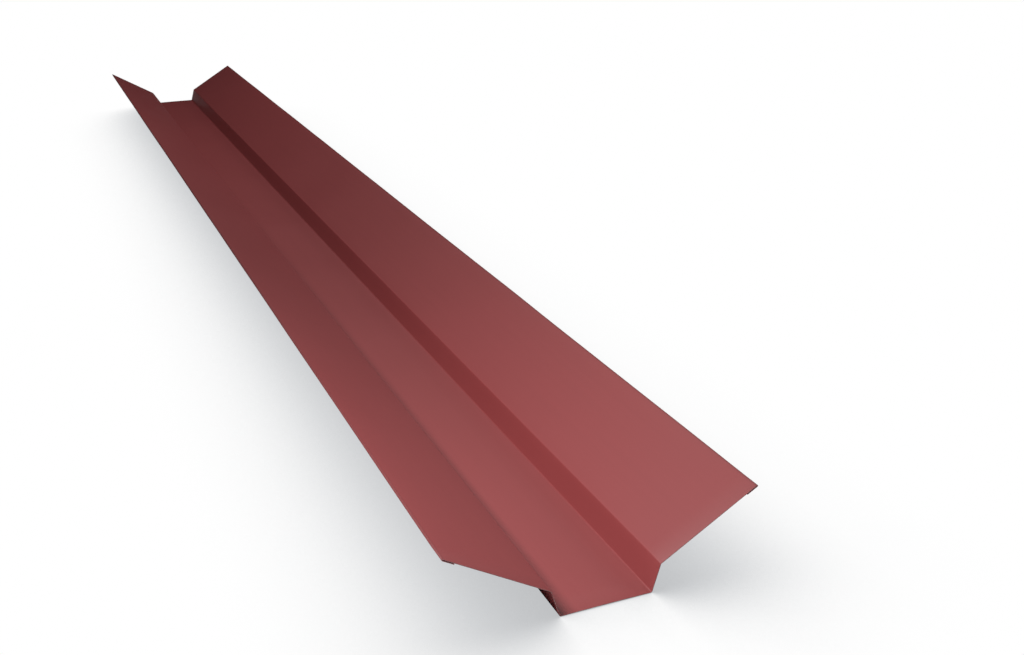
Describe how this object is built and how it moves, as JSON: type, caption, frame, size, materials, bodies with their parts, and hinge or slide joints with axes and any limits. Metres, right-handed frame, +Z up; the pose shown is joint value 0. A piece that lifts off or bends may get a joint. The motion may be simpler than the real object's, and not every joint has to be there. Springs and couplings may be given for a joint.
{
  "type": "valley flashing",
  "caption": "Folded sheet-metal valley flashing: a flat water trough between steep walls and wide sloping wings, whose outer edges are turned under as open hems.",
  "frame": {"origin": "middle of the trough's underside, halfway along the length, on the floor that the flashing lies on", "axes": "+X across the section to the right, +Y along the valley, +Z up, out of the trough's open side"},
  "size_m": [0.2366, 2, 0.0662],
  "materials": {
    "coated_steel": "satin red-brown coil coating on galvanised steel sheet"
  },
  "bodies": {
    "root": {"valley_flashing": "coated_steel"}
  },
  "joints": []
}
